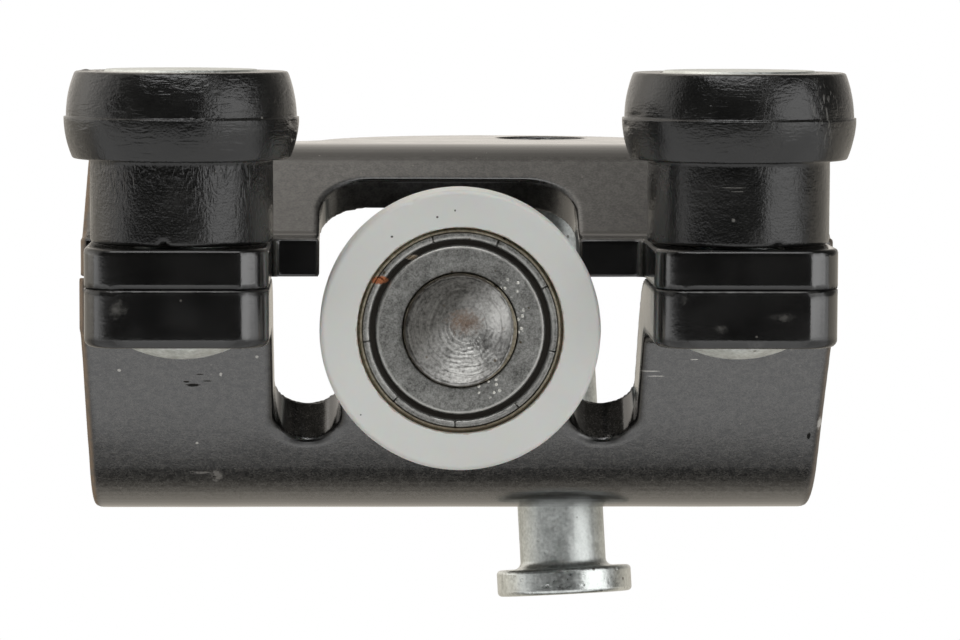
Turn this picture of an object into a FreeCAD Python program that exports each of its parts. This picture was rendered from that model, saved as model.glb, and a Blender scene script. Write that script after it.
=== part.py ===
import FreeCAD, Part
import math
import os

Vec = FreeCAD.Vector

# Sliding door roller carriage. The origin is the centre of the load wheel.
# X runs along the rail, Y runs from the rail side back to the door side, Z is up.

# Load wheel
wheel_diameter = 30.0
wheel_overhang = 0.5
wheel_side_gap = 5.2
wheel_edge_round = 0.5
wheel_bore_chamfer = 0.15

# Ball bearing inside the load wheel
bearing_diameter = 22.0
bearing_bore = 8.0
bearing_width = 7.0
ball_count = 7
ball_diameter = 3.969
race_clearance = 0.04
ring_shoulder = 1.45
ring_chamfer = 0.3
shield_lip = 0.5
shield_seat_depth = 0.9
shield_sheet = 0.3
shield_recess = 0.1
shield_rim_width = 0.75
shield_groove_width = 0.5
shield_groove_depth = 0.4
shield_step = 0.15
shield_gap = 0.12
shield_slits = 9
shield_slit_width = 0.14
cage_sheet = 0.3
cage_side_gap = 0.3
pocket_clearance = 0.06

# Riveted axle of the load wheel
axle_head_height = 1.0
axle_head_chamfer = 0.25
dimple_rim = 0.75
dimple_depth = 2.0
axle_collar_step = 0.35
axle_tail_diameter = 12.0
axle_tail_height = 2.4
axle_tail_round = 1.6
axle_seat_gap = 0.3

# Guide rollers and their stepped rivets
guide_side_land = 10.0
guide_set_back = 10.0
roller_neck_diameter = 19.4
roller_neck_height = 8.9
roller_neck_chamfer = 0.45
roller_head_height = 9.2
roller_overhang = 1.8
roller_crown_rise = 0.95
roller_mid_rise = 0.71
roller_crown_height = 4.4
roller_parting_step = 0.25
roller_rim_round = 0.35
roller_root_round = 0.4
roller_end_gap = 0.2
guide_shank_diameter = 10.0
guide_shoulder = 1.0
guide_head_diameter = 16.4
guide_head_height = 2.0
guide_head_proud = 0.2
guide_head_side_gap = 0.25
guide_head_round = 0.25
guide_tail_diameter = 12.4
guide_tail_height = 1.9
guide_tail_land = 0.3
guide_tail_gap = 0.3
running_clearance = 0.05

# Bracket outline shared by both sheets
tab_width = 19.4
tab_front = 13.0
tab_corner = 4.0
seam_height = 5.0
web_overhang = 1.4
web_corner = 1.0

# Upper bracket
upper_sheet = 4.2
upper_top = 18.7
upper_slope = 35.0
upper_root_bend = 4.0
upper_top_bend = 8.0
upper_neck_gap = 1.3
upper_flange_land = 2.0
upper_inner_corner = 1.0
arch_side_gap = 1.4
arch_x = -0.9
arch_back_gap = 2.3
arch_corner = 5.6
upper_edge_round = 0.4

# Lower bracket
lower_sheet = 6.2
lower_bottom = 23.45
lower_slope = 50.0
lower_root_bend = 4.0
lower_bottom_bend = 10.0
slot_width = 7.4
slot_drop = 11.4
tongue_bend = 4.0
tongue_top = 10.5
tongue_corner = 9.0
lower_edge_round = 0.8

# Fork ears and the pivot pin
ear_shoulder_land = 1.2
ear_shoulder_corner = 5.0
ear_centre_x = 6.0
ear_pin_land = 8.5
ear_radius = 22.0
pin_x = 11.65
pin_bend_gap = 0.6
pin_lean = 3.0
pin_tilt = 8.0
pin_diameter = 10.0
pin_head_diameter = 15.7
pin_head_height = 3.05
pin_head_round = 0.5
pin_root_round = 0.9
pin_stand_off = 7.9
pin_end_sink = 0.6
pin_end_chamfer = 0.8
pin_groove_width = 1.3
pin_groove_depth = 0.5
pin_groove_gap = 0.2
pin_home_gap = 0.1
pin_clearance = 0.05

# How near two lengths or two points are when they count as the same
same_length = 1e-6
same_point = 1e-4

# Places worked out from the sizes above
wheel_width = bearing_width + 2 * wheel_overhang
tab_inner = wheel_diameter / 2 + wheel_side_gap
half_width = tab_inner + tab_width
web_half = half_width + web_overhang
guide_x = half_width - guide_side_land
guide_y = guide_set_back - tab_front
guide_spigot_diameter = guide_shank_diameter - 2 * guide_shoulder
upper_root_back = guide_y + roller_neck_diameter / 2 + upper_neck_gap
upper_flange_back = upper_root_back - upper_flange_land
lower_root_back = guide_y + guide_tail_diameter / 2 + guide_tail_gap
upper_tab_top = seam_height + upper_sheet
lower_tab_bottom = seam_height - lower_sheet
roller_low = upper_tab_top + roller_end_gap
roller_top = roller_low + roller_neck_height + roller_head_height
pitch_radius = (bearing_bore + bearing_diameter) / 4
inner_shoulder = pitch_radius - ring_shoulder
outer_shoulder = pitch_radius + ring_shoulder
race_radius = ball_diameter / 2 + race_clearance
shield_seat = bearing_diameter / 2 - shield_lip
far = 4 * (half_width + upper_top + lower_bottom)


def path_edges(points):
    """Edges through the points in turn; a pair of points is an arc's (through, end)."""
    edges = []
    here = points[0]
    for step in points[1:]:
        if isinstance(step, tuple):
            edges.append(Part.Arc(here, step[0], step[1]).toShape())
            here = step[1]
        elif here.distanceToPoint(step) > same_length:
            edges.append(Part.LineSegment(here, step).toShape())
            here = step
    return edges


def flat(points):
    """Closed face with the given outline."""
    return Part.Face(Part.Wire(path_edges(points + [points[0]])))


def turned(points):
    """Solid turned about the wheel's axis: points are (radius, place along Y)."""
    return flat([Vec(r, y, 0) for r, y in points]).revolve(Vec(0, 0, 0), Vec(0, 1, 0), 360)


def upright(outline):
    """Solid turned about an upright axis, from an outline in the XZ plane."""
    return flat(outline).revolve(Vec(0, 0, 0), Vec(0, 0, 1), 360)


def block(x0, x1, y0, y1, z0, z1):
    return Part.makeBox(x1 - x0, y1 - y0, z1 - z0, Vec(x0, y0, z0))


def ring_edges(shape, radius, height=None):
    """Full circles of the given radius, at one height if it is given."""
    found = []
    for edge in shape.Edges:
        round_edge = edge.Curve.TypeId == "Part::GeomCircle"
        if round_edge and abs(edge.Curve.Radius - radius) < same_length:
            if height is None or abs(edge.Curve.Center.z - height) < same_length:
                found.append(edge)
    return found


def corner_edges(shape, x, y):
    """Upright edges of a plan prism that stand at the given plan point."""
    found = []
    for edge in shape.Edges:
        if all(math.hypot(v.Point.x - x, v.Point.y - y) < same_point for v in edge.Vertexes):
            found.append(edge)
    return found


# Ball bearing

def race():
    return Part.makeTorus(pitch_radius, race_radius, Vec(0, 0, 0), Vec(0, 1, 0))


def make_inner_ring():
    half = bearing_width / 2
    bore = bearing_bore / 2
    ring = turned([(bore + ring_chamfer, -half), (inner_shoulder, -half), (inner_shoulder, half),
                   (bore + ring_chamfer, half), (bore, half - ring_chamfer), (bore, ring_chamfer - half)])
    return ring.cut(race())


def make_outer_ring():
    half = bearing_width / 2
    outer = bearing_diameter / 2
    ring = turned([(outer_shoulder, -half), (outer - ring_chamfer, -half), (outer, ring_chamfer - half),
                   (outer, half - ring_chamfer), (outer - ring_chamfer, half), (outer_shoulder, half)])
    ring = ring.cut(race())
    for side in (-1, 1):
        floor = side * (half - shield_seat_depth)
        ring = ring.cut(Part.makeCylinder(shield_seat, far, Vec(0, floor, 0), Vec(0, side, 0)))
    return ring


def make_front_shield():
    """Pressed disc: seated lip, crimped rim with slits, ring groove and flat face."""
    face = shield_recess - bearing_width / 2
    floor = shield_seat_depth - bearing_width / 2
    under = face + shield_sheet
    low = face + shield_groove_depth
    low_under = low + shield_sheet
    rim_in = shield_seat - shield_rim_width
    groove_out = rim_in - shield_step
    groove_in = groove_out - shield_groove_width
    flat_out = groove_in - shield_step
    hole = inner_shoulder + shield_gap
    lip_in = shield_seat - shield_sheet
    shield = turned([(shield_seat, floor), (shield_seat, face), (rim_in, face), (groove_out, low),
                     (groove_in, low), (flat_out, face), (hole, face), (hole, under),
                     (flat_out - shield_step, under), (groove_in - shield_step, low_under),
                     (groove_out + shield_step, low_under), (rim_in + shield_step, under),
                     (lip_in, under), (lip_in, floor)])
    side = shield_slit_width / 2
    for i in range(shield_slits):
        slit = block(-side, side, face - shield_sheet, under, rim_in, far)
        slit.rotate(Vec(0, 0, 0), Vec(0, 1, 0), 360 * (i + 0.5) / shield_slits)
        shield = shield.cut(slit)
    return shield


def make_rear_shield():
    shield = make_front_shield()
    shield.rotate(Vec(0, 0, 0), Vec(0, 0, 1), 180)
    return shield


def ball_place(index):
    angle = 2 * math.pi * index / ball_count
    return Vec(pitch_radius * math.sin(angle), 0, pitch_radius * math.cos(angle))


def ball_sphere(radius, index):
    return Part.makeSphere(radius, ball_place(index), Vec(0, 1, 0))


def make_ball(index):
    return ball_sphere(ball_diameter / 2, index)


def cage_tube(length, side):
    """Ring between the two bearing rings, on one side of the ball plane."""
    origin = Vec(0, 0, 0)
    axis = Vec(0, side, 0)
    outside = Part.makeCylinder(outer_shoulder - cage_side_gap, length, origin, axis)
    return outside.cut(Part.makeCylinder(inner_shoulder + cage_side_gap, length, origin, axis))


def make_cage_half(side):
    """Ribbon half: a flat ring that bulges round each ball."""
    pocket = ball_diameter / 2 + pocket_clearance
    reach = pocket + cage_sheet
    half = cage_tube(cage_sheet, side)
    band = cage_tube(reach, side)
    for i in range(ball_count):
        half = half.fuse(band.common(ball_sphere(reach, i)))
    for i in range(ball_count):
        half = half.cut(ball_sphere(pocket, i))
    return half.removeSplitter()


# Load wheel

def make_tyre():
    tread = wheel_diameter / 2
    bore = bearing_diameter / 2
    half = wheel_width / 2
    tyre = turned([(bore, -half), (tread, -half), (tread, half), (bore, half)])
    tyre = tyre.makeFillet(wheel_edge_round, ring_edges(tyre, tread))
    return tyre.makeChamfer(wheel_bore_chamfer, ring_edges(tyre, bore))


def make_wheel_axle():
    """Turned axle: coned head over the inner ring, collar behind it, tail over the tongue."""
    half = bearing_width / 2
    head = inner_shoulder
    shank = bearing_bore / 2
    collar = inner_shoulder - axle_collar_step
    tail = axle_tail_diameter / 2
    top = -half - axle_head_height
    end = tongue_rear + axle_tail_height
    crest = Vec(tail - axle_tail_round, end, 0)
    shoulder = Vec(tail, end - axle_tail_round, 0)
    swing = Vec(crest.x, shoulder.y, 0) + Vec(1, 1, 0).normalize() * axle_tail_round
    outline = [Vec(0, top + dimple_depth, 0), Vec(head - dimple_rim, top, 0),
               Vec(head - axle_head_chamfer, top, 0), Vec(head, top + axle_head_chamfer, 0),
               Vec(head, -half, 0), Vec(shank, -half, 0), Vec(shank, half, 0), Vec(collar, half, 0),
               Vec(collar, tongue_front, 0), Vec(shank, tongue_front, 0), Vec(shank, tongue_rear, 0),
               Vec(tail, tongue_rear, 0), shoulder, (swing, crest), Vec(0, end, 0)]
    return flat(outline).revolve(Vec(0, 0, 0), Vec(0, 1, 0), 360)


# Guide rollers

def make_guide_axle(x):
    """Stepped rivet: disc head, running shank, spigot through both tabs, domed tail."""
    top = roller_top + guide_head_proud
    under = top - guide_head_height
    head = guide_head_diameter / 2
    shank = guide_shank_diameter / 2
    spigot = guide_spigot_diameter / 2
    tail = guide_tail_diameter / 2
    rim = Vec(tail, 0, lower_tab_bottom - guide_tail_land)
    crest = Vec(0, 0, lower_tab_bottom - guide_tail_height)
    dome = (tail ** 2 + (rim.z - crest.z) ** 2) / (2 * (rim.z - crest.z))
    half_rise = math.asin(tail / dome) / 2
    swing = crest + Vec(math.sin(half_rise), 0, 1 - math.cos(half_rise)) * dome
    rivet = upright([Vec(0, 0, top), Vec(head - guide_head_round, 0, top),
                     Vec(head, 0, top - guide_head_round), Vec(head, 0, under), Vec(shank, 0, under),
                     Vec(shank, 0, upper_tab_top), Vec(spigot, 0, upper_tab_top),
                     Vec(spigot, 0, lower_tab_bottom),
                     Vec(tail, 0, lower_tab_bottom), rim, (swing, crest)])
    rivet.translate(Vec(x, guide_y, 0))
    return rivet


def make_guide_roller(x):
    """Moulded mushroom roller: straight neck, barrel head with a parting line, sunk top."""
    root = roller_low + roller_neck_height
    parting = root + roller_crown_height
    bore = guide_shank_diameter / 2 + running_clearance
    neck = roller_neck_diameter / 2
    rim = neck + roller_overhang
    crown = rim + roller_crown_rise
    upper_crown = crown - roller_parting_step
    upper_rim = rim - roller_parting_step
    sink = guide_head_diameter / 2 + guide_head_side_gap
    floor = roller_top + guide_head_proud - guide_head_height - roller_end_gap
    swell = Vec(rim + roller_mid_rise, 0, (root + parting) / 2)
    upper_swell = Vec(swell.x - roller_parting_step, 0, (parting + roller_top) / 2)
    roller = upright([Vec(bore, 0, roller_low), Vec(neck - roller_neck_chamfer, 0, roller_low),
                      Vec(neck, 0, roller_low + roller_neck_chamfer), Vec(neck, 0, root), Vec(rim, 0, root),
                      (swell, Vec(crown, 0, parting)), Vec(upper_crown, 0, parting),
                      (upper_swell, Vec(upper_rim, 0, roller_top)), Vec(sink, 0, roller_top),
                      Vec(sink, 0, floor), Vec(bore, 0, floor)])
    rims = ring_edges(roller, rim) + ring_edges(roller, upper_rim)
    roller = roller.makeFillet(roller_rim_round, rims)
    roller = roller.makeFillet(roller_root_round, ring_edges(roller, neck, root))
    roller.translate(Vec(x, guide_y, 0))
    return roller


# Folded brackets

def folded_section(face_z, up, slope, sheet, root_back, root_bend, end_bend, end_z):
    """Side section of a folded sheet: tab, root bend, sloping web, end bend, rear flange.

    The worked face is the one that shows from the rail side. Up is 1 where the web
    climbs and -1 where it drops. Out is the worked face's normal on the web.
    """
    angle = math.radians(slope)
    run = Vec(0, math.cos(angle), up * math.sin(angle))
    out = Vec(0, -math.sin(angle), up * math.cos(angle))
    half_turn = Vec(0, math.sin(angle / 2), -up * math.cos(angle / 2))
    outer = end_bend + sheet
    c1 = Vec(0, root_back, face_z + up * root_bend)
    web_start = c1 - out * root_bend
    bend_z = end_z - up * outer * (1 - math.cos(angle))
    web_end = web_start + run * ((bend_z - web_start.z) / run.z)
    c2 = web_end - out * outer
    face = [Vec(0, -tab_front, face_z), Vec(0, root_back, face_z), (c1 + half_turn * root_bend, web_start),
            web_end, (c2 - half_turn * outer, Vec(0, c2.y, end_z)), Vec(0, far, end_z)]
    under_z = face_z - up * sheet
    rear_z = end_z - up * sheet
    back = [Vec(0, far, rear_z), Vec(0, c2.y, rear_z), (c2 - half_turn * end_bend, c2 + out * end_bend),
            web_start - out * sheet,
            (c1 + half_turn * (root_bend + sheet), Vec(0, root_back, under_z)), Vec(0, -tab_front, under_z)]
    return {"run": run, "out": out, "web_start": web_start, "flat_back": c2.y, "face": face, "back": back}


def folded(section):
    sheet = flat(section["face"] + section["back"]).extrude(Vec(2 * web_half, 0, 0))
    sheet.translate(Vec(-web_half, 0, 0))
    return sheet


def on_web(shape, origin, section):
    """Carry a shape from (x, along the web, out of the sheet) to its place on the web."""
    run = section["run"]
    out = section["out"]
    across = run.cross(out)
    placed = shape.copy()
    placed.Placement = FreeCAD.Placement(FreeCAD.Matrix(
        across.x, run.x, out.x, origin.x,
        across.y, run.y, out.y, origin.y,
        across.z, run.z, out.z, origin.z,
        0, 0, 0, 1))
    return placed


def rounded_rim(shape, faces, radius):
    """Round the sheet's cut edges on the worked face, which a punch leaves soft."""
    seen = {}
    for face in shape.Faces:
        ends = [Part.Vertex(Vec(0, v.Point.y, v.Point.z)) for v in face.Vertexes]
        if all(end.distToShape(faces)[0] < same_point for end in ends):
            for edge in face.Edges:
                seen.setdefault(edge.hashCode(), []).append(edge)
    rim = [group[0] for group in seen.values() if len(group) == 1]
    return shape.makeFillet(radius, rim)


def ear_plan(z0, z1, front):
    """Plan prism of a fork ear: straight front, shoulders across the bracket and a round lobe."""
    lobe = Part.makeCylinder(ear_radius, z1 - z0, Vec(ear_centre_x, ear_centre_back, z0))
    lobe = lobe.cut(block(-far, far, -far, front, z0, z1))
    body = block(-web_half, web_half, front, ear_shoulder_back, z0, z1).fuse(lobe).removeSplitter()
    reach = math.sqrt(ear_radius ** 2 - (ear_shoulder_back - ear_centre_back) ** 2)
    corners = []
    for side in (-1, 1):
        corners += corner_edges(body, ear_centre_x + side * reach, ear_shoulder_back)
        corners += corner_edges(body, side * web_half, ear_shoulder_back)
    body = body.makeFillet(ear_shoulder_corner, corners)
    ends = corner_edges(body, -web_half, front) + corner_edges(body, web_half, front)
    return body.makeFillet(web_corner, ends)


def tab_plan(z0, z1, back, side):
    """Plan prism of one front tab with rounded front corners."""
    x0, x1 = sorted((side * tab_inner, side * half_width))
    tab = block(x0, x1, -tab_front, back, z0, z1)
    corners = corner_edges(tab, x0, -tab_front) + corner_edges(tab, x1, -tab_front)
    return tab.makeFillet(tab_corner, corners)


def sheet_plan(z0, z1, front, tab_back):
    """Plan prism of a bracket: an ear and two tabs, rounded where the web grows wider than the tabs."""
    plan = ear_plan(z0, z1, front)
    for side in (-1, 1):
        plan = plan.fuse(tab_plan(z0, z1, tab_back, side))
    plan = plan.removeSplitter()
    nooks = corner_edges(plan, -half_width, front) + corner_edges(plan, half_width, front)
    return plan.makeFillet((web_overhang - web_corner) / 2, nooks)


def bored(sheet):
    """Bore a bracket for the two guide axles and for the pivot pin."""
    for side in (-1, 1):
        foot = Vec(side * guide_x, guide_y, -far)
        sheet = sheet.cut(Part.makeCylinder(guide_spigot_diameter / 2, 2 * far, foot))
    radius = pin_diameter / 2 + pin_clearance
    return sheet.cut(Part.makeCylinder(radius, 2 * far, pin_foot - pin_axis * far, pin_axis))


def make_upper_bracket():
    z0 = seam_height - upper_sheet
    z1 = upper_top + upper_sheet
    plan = sheet_plan(z0, z1, upper_flange_back, upper_root_back)
    nooks = []
    for side in (-1, 1):
        nooks += corner_edges(plan, side * tab_inner, upper_flange_back)
    sheet = folded(upper).common(plan.makeFillet(upper_inner_corner, nooks))
    sheet = sheet.cut(make_arch()).cut(make_arch_mouth()).removeSplitter()
    sheet = rounded_rim(sheet, Part.Wire(path_edges(upper["face"])), upper_edge_round)
    return bored(sheet)


def make_arch():
    """Cutter for the arch on the web, square to the sheet, with rounded top corners."""
    run = upper["run"]
    start = upper["web_start"] + Vec(arch_x, 0, 0)
    length = (arch_back - start.y) / run.y
    deep = 2 * upper_sheet
    arch = block(-arch_half, arch_half, 0, length, -deep, deep)
    corners = corner_edges(arch, -arch_half, length) + corner_edges(arch, arch_half, length)
    return on_web(arch.makeFillet(arch_corner, corners), start, upper)


def make_arch_mouth():
    """Cutter that carries the arch on through the root bend and the front flange."""
    start = upper["web_start"]
    deep = upper["out"] * (2 * upper_sheet)
    high = start + deep
    low = start - deep
    side = flat([low, high, Vec(0, -tab_front, high.z), Vec(0, -tab_front, low.z)])
    mouth = side.extrude(Vec(2 * arch_half, 0, 0))
    mouth.translate(Vec(arch_x - arch_half, 0, 0))
    return mouth


def make_tongue():
    """Strip that leaves the web between the slots and turns up behind the wheel."""
    strip = flat(tongue_face + [
        Vec(0, tongue_rear, tongue_top), Vec(0, tongue_rear, tongue_centre.z),
        (tongue_centre + tongue_half_turn * tongue_bend, slot_end - lower["out"] * lower_sheet)])
    strip = strip.extrude(Vec(2 * slot_inner, 0, 0))
    strip.translate(Vec(-slot_inner, 0, 0))
    shoulders = []
    for edge in strip.Edges:
        ends = [v.Point for v in edge.Vertexes]
        at_top = all(abs(p.z - tongue_top) < same_length for p in ends)
        if at_top and abs(ends[0].y - ends[1].y) > same_length:
            shoulders.append(edge)
    return strip.makeFillet(tongue_corner, shoulders)


def make_slot_cutter():
    """Cutter for the web between the tabs, down to the two round slot ends."""
    deep = 2 * lower_sheet
    cutter = block(-tab_inner, tab_inner, -far, 0, -deep, deep)
    for side in (-1, 1):
        centre = Vec(side * (tab_inner - slot_width / 2), 0, -deep)
        cutter = cutter.fuse(Part.makeCylinder(slot_width / 2, 2 * deep, centre))
    return on_web(cutter, slot_end, lower)


def make_lower_bracket():
    z0 = -lower_bottom - lower_sheet
    z1 = seam_height + lower_sheet
    plan = sheet_plan(z0, z1, lower_root_back, ear_shoulder_back - ear_shoulder_corner)
    sheet = folded(lower).common(plan).cut(make_slot_cutter())
    sheet = sheet.fuse(make_tongue()).removeSplitter()
    faces = Part.Compound([Part.Wire(path_edges(lower["face"])), Part.Wire(path_edges(tongue_face))])
    sheet = rounded_rim(sheet, faces, lower_edge_round)
    axle_hole = Part.makeCylinder(bearing_bore / 2, tongue_rear + lower_sheet, Vec(0, 0, 0), Vec(0, 1, 0))
    seat_radius = axle_tail_diameter / 2 + axle_seat_gap
    seat = Part.makeCylinder(seat_radius, axle_tail_height, Vec(0, tongue_rear, 0), Vec(0, 1, 0))
    return bored(sheet.cut(axle_hole).cut(seat))


# Pivot pin

def make_pivot_pin():
    """Headed pin on the leaning axis, with a clip groove that clears the ear once it is home."""
    shank = pin_diameter / 2
    head = pin_head_diameter / 2
    shoulder = -(lower_bottom + pin_stand_off) / pin_axis.z
    bottom = shoulder - pin_head_height
    top = (upper_top - pin_end_sink) / pin_axis.z
    groove = (upper_top + pin_groove_gap + shank * lean_rise) / pin_axis.z - pin_travel
    groove_top = groove + pin_groove_width
    neck = shank - pin_groove_depth
    pin = upright([Vec(0, 0, bottom), Vec(head, 0, bottom), Vec(head, 0, shoulder), Vec(shank, 0, shoulder),
                   Vec(shank, 0, groove), Vec(neck, 0, groove), Vec(neck, 0, groove_top),
                   Vec(shank, 0, groove_top), Vec(shank, 0, top - pin_end_chamfer),
                   Vec(shank - pin_end_chamfer, 0, top), Vec(0, 0, top)])
    pin = pin.makeFillet(pin_head_round, ring_edges(pin, head))
    pin = pin.makeFillet(pin_root_round, ring_edges(pin, shank, shoulder))
    pin.Placement = FreeCAD.Placement(pin_foot, FreeCAD.Rotation(Vec(0, 0, 1), pin_axis))
    return pin


# Sections of the two sheets, and what hangs on them
upper = folded_section(upper_tab_top, 1, upper_slope, upper_sheet, upper_root_back, upper_root_bend,
                       upper_top_bend, upper_top)
lower = folded_section(lower_tab_bottom, -1, lower_slope, lower_sheet, lower_root_back, lower_root_bend,
                       lower_bottom_bend, -lower_bottom)

# The slots end on the lower web at this point of its worked face, and the tongue starts there
slot_end = lower["web_start"] + lower["run"] * ((-slot_drop - lower["web_start"].z) / lower["run"].z)
slot_inner = tab_inner - slot_width
tongue_outer = tongue_bend + lower_sheet
tongue_centre = slot_end - lower["out"] * tongue_outer
tongue_front = tongue_centre.y - tongue_outer
tongue_rear = tongue_front + lower_sheet
tongue_turn = math.radians(90 - lower_slope) / 2
tongue_half_turn = Vec(0, -math.cos(tongue_turn), -math.sin(tongue_turn))
tongue_foot = Vec(0, tongue_front, tongue_centre.z)
tongue_face = [slot_end, (tongue_centre + tongue_half_turn * tongue_outer, tongue_foot),
               Vec(0, tongue_front, tongue_top)]

# The arch clears the tongue at its sides and behind it
arch_half = slot_inner + arch_side_gap
arch_back = tongue_rear + arch_back_gap + upper_sheet * upper["out"].y

# The pin stands just behind the lower bend, and the ears are built round it
side_rise = math.tan(math.radians(pin_lean))
back_rise = math.tan(math.radians(pin_tilt))
lean_rise = math.hypot(side_rise, back_rise)
pin_back = lower["flat_back"] + pin_bend_gap + pin_diameter / 2 + lower_bottom * back_rise
pin_foot = Vec(pin_x, pin_back, 0)
pin_axis = Vec(-side_rise, back_rise, 1).normalize()
pin_head_rise = pin_head_diameter / 2 * lean_rise
pin_travel = (pin_stand_off - pin_head_rise) / pin_axis.z - pin_root_round - pin_home_gap
ear_shoulder_back = lower["flat_back"] + ear_shoulder_land
ear_centre_back = pin_back + upper_top * back_rise + ear_pin_land - ear_radius

parts = {
    "upper_bracket": make_upper_bracket(),
    "lower_bracket": make_lower_bracket(),
    "guide_axle_left": make_guide_axle(-guide_x),
    "guide_axle_right": make_guide_axle(guide_x),
    "guide_roller_left": make_guide_roller(-guide_x),
    "guide_roller_right": make_guide_roller(guide_x),
    "wheel_tyre": make_tyre(),
    "wheel_axle": make_wheel_axle(),
    "bearing_outer_ring": make_outer_ring(),
    "bearing_inner_ring": make_inner_ring(),
    "bearing_front_shield": make_front_shield(),
    "bearing_rear_shield": make_rear_shield(),
    "bearing_cage_front": make_cage_half(-1),
    "bearing_cage_rear": make_cage_half(1),
    "pivot_pin": make_pivot_pin(),
}
for number in range(ball_count):
    parts["bearing_ball_%d" % (number + 1)] = make_ball(number)

os.makedirs("parts", exist_ok=True)
for name, shape in parts.items():
    print(name, len(shape.Solids), shape.isValid(), round(shape.Volume, 2))
    shape.exportStep("parts/%s.step" % name)
print("guide axles at", guide_x, guide_y, "tongue front", tongue_front)
print("pin at", pin_x, pin_back, "along", pin_axis, "travel", pin_travel)
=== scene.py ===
# %% [markdown]
# # A sliding door roller carriage, dressed for the camera
# The carriage comes from CAD as a fixed frame of named solids. This lesson gives it its looks. The
# turned, pressed and moulded pieces are worked out again as fine numpy surfaces, so that their wear is
# real geometry. The two folded brackets are fine copies of their own solids. Every finish is made from
# shader nodes. All lengths are in metres, and `mm` turns the sizes of the shop drawing into metres.

# %% Load the frame
import math

import bpy
import numpy as np
from mathutils import Matrix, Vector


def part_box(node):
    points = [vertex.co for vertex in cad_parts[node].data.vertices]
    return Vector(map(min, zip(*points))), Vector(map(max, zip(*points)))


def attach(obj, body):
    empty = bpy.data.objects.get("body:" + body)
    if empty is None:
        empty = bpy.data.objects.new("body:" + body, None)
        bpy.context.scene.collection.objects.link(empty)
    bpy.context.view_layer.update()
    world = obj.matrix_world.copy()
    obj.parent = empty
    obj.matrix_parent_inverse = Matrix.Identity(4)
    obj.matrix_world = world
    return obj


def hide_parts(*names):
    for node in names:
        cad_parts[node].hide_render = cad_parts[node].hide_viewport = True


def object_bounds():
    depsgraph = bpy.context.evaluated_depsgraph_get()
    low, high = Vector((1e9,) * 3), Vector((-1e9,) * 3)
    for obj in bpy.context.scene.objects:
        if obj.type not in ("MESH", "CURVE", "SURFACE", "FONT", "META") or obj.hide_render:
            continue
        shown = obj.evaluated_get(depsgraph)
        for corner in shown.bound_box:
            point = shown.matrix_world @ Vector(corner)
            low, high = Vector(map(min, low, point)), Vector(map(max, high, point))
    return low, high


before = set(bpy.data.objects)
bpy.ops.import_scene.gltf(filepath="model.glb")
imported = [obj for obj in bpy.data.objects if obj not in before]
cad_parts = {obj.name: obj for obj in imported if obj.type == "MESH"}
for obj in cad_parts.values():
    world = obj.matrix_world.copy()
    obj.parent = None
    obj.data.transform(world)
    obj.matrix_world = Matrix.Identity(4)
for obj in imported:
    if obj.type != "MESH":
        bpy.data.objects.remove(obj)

mm = 0.001
cad_low, cad_high = [list(corner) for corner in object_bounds()]
print("CAD box in mm:", np.round(cad_low, 5) / mm, np.round(cad_high, 5) / mm)

# %% [markdown]
# ## Camera
# The picture was taken from the rail side, a little to the left and a little above. A long lens
# stands less than half a metre away, turned slightly right and down. Turning the camera, rather than
# shifting its lens, lets the upright lines lean the way they do in the picture.

# %% Camera
frame_width = 960
focal_pixels = 3964
camera_place = np.array([-11.75, -424.0, 36.8]) * mm
camera_yaw = math.radians(1.886)
camera_pitch = math.radians(4.85)
camera_roll = math.radians(0.2)

lens = bpy.data.cameras.new("photo_camera")
lens.sensor_width = 36
lens.lens = lens.sensor_width * focal_pixels / frame_width
camera = bpy.data.objects.new("photo_camera", lens)
camera.location = camera_place
turned = Matrix.Rotation(-camera_yaw, 3, "Z") @ Matrix.Rotation(math.pi / 2 - camera_pitch, 3, "X")
camera.rotation_euler = (turned @ Matrix.Rotation(camera_roll, 3, "Z")).to_euler()
bpy.context.scene.collection.objects.link(camera)
bpy.context.scene.camera = camera
bpy.context.scene.view_settings.view_transform = "Standard"
print("lens of", round(lens.lens, 1), "mm at", np.round(camera_place / mm, 1))

# %% [markdown]
# ## Building nodes
# A material is a small graph. One helper adds a node, sets its plain values and joins its inputs, and
# short ones stand for sums, products and blends, so that each finish below reads as a list of what it
# is made of.

# %% Node helpers
def put(tree, kind, sockets=None, **settings):
    """Add one node. A socket is given a value, or the output of another node to be joined to."""
    made = tree.nodes.new(kind)
    for key, value in settings.items():
        setattr(made, key, value)
    for key, value in (sockets or {}).items():
        if isinstance(value, bpy.types.NodeSocket):
            tree.links.new(value, made.inputs[key])
        else:
            made.inputs[key].default_value = value
    return made


def math_node(tree, operation, a, b=0.0):
    return put(tree, "ShaderNodeMath", {0: a, 1: b}, operation=operation).outputs[0]


def times(tree, a, b):
    return math_node(tree, "MULTIPLY", a, b)


def plus(tree, a, b):
    return math_node(tree, "ADD", a, b)


def minus(tree, a, b):
    return math_node(tree, "SUBTRACT", a, b)


def larger(tree, a, b):
    return math_node(tree, "MAXIMUM", a, b)


def invert(tree, mask):
    return minus(tree, 1.0, mask)


def vector_node(tree, operation, a, b):
    return put(tree, "ShaderNodeVectorMath", {0: a, 1: b}, operation=operation).outputs[0]


def length_of(tree, vector):
    return put(tree, "ShaderNodeVectorMath", {0: vector}, operation="LENGTH").outputs["Value"]


def remap(tree, value, low, high, to_low=0.0, to_high=1.0):
    """Straight line from (low, high) to (to_low, to_high), held at its ends."""
    made = put(tree, "ShaderNodeMapRange", {"Value": value, "From Min": low, "From Max": high,
                                            "To Min": to_low, "To Max": to_high})
    return made.outputs["Result"]


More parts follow.
